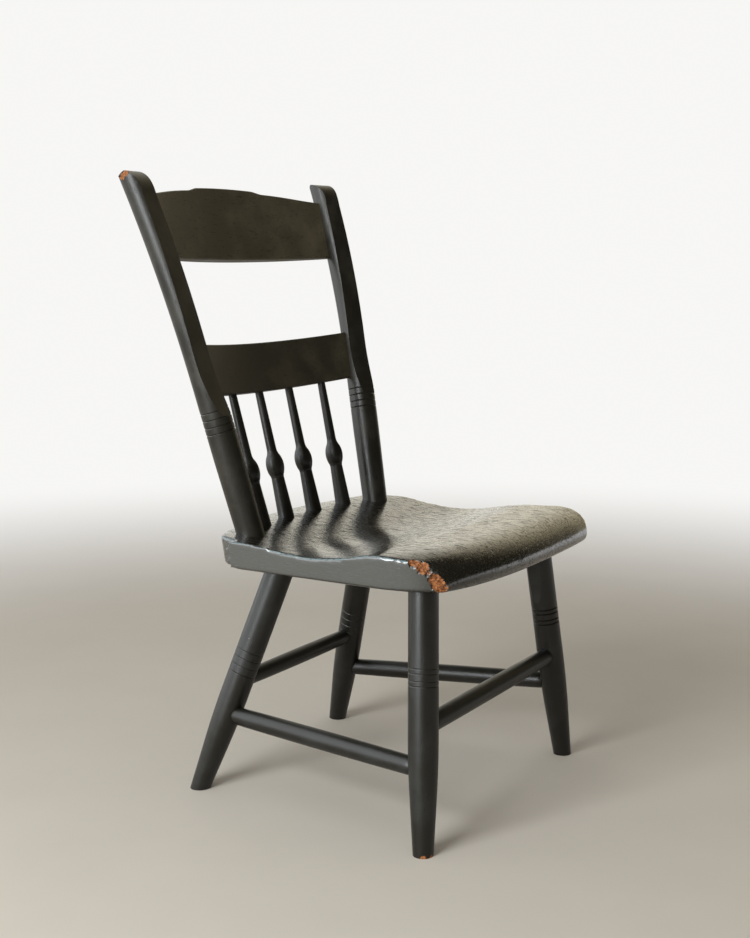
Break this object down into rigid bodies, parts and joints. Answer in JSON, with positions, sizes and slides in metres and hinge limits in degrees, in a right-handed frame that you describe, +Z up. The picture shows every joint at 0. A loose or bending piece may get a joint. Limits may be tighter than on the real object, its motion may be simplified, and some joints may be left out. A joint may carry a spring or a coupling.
{
  "type": "windsor side chair",
  "caption": "Wooden side chair with a dished plank seat, splayed turned legs joined by stretchers, a bent top rail, a lower rail and short turned spindles between back posts.",
  "frame": {"origin": "on the floor, under the middle of the chair's outer box", "axes": "+Z up, -Y the way the sitter faces, +X the sitter's left"},
  "size_m": [0.496, 0.5163, 0.837],
  "materials": {
    "seat": "semi_gloss",
    "front_left_leg": "semi_gloss",
    "front_right_leg": "semi_gloss",
    "rear_left_leg": "semi_gloss",
    "rear_right_leg": "semi_gloss",
    "front_stretcher": "semi_gloss",
    "rear_stretcher": "semi_gloss",
    "right_stretcher": "semi_gloss",
    "left_stretcher": "semi_gloss",
    "left_post": "semi_gloss",
    "right_post": "semi_gloss",
    "top_rail": "semi_gloss",
    "low_rail": "semi_gloss",
    "spindle_1": "semi_gloss",
    "spindle_2": "semi_gloss",
    "spindle_3": "semi_gloss",
    "spindle_4": "semi_gloss"
  },
  "bodies": {
    "root": {"seat": "seat", "front_left_leg": "front_left_leg", "front_right_leg": "front_right_leg", "rear_left_leg": "rear_left_leg", "rear_right_leg": "rear_right_leg", "front_stretcher": "front_stretcher", "rear_stretcher": "rear_stretcher", "right_stretcher": "right_stretcher", "left_stretcher": "left_stretcher", "left_post": "left_post", "right_post": "right_post", "top_rail": "top_rail", "low_rail": "low_rail", "spindle_1": "spindle_1", "spindle_2": "spindle_2", "spindle_3": "spindle_3", "spindle_4": "spindle_4"}
  },
  "joints": []
}
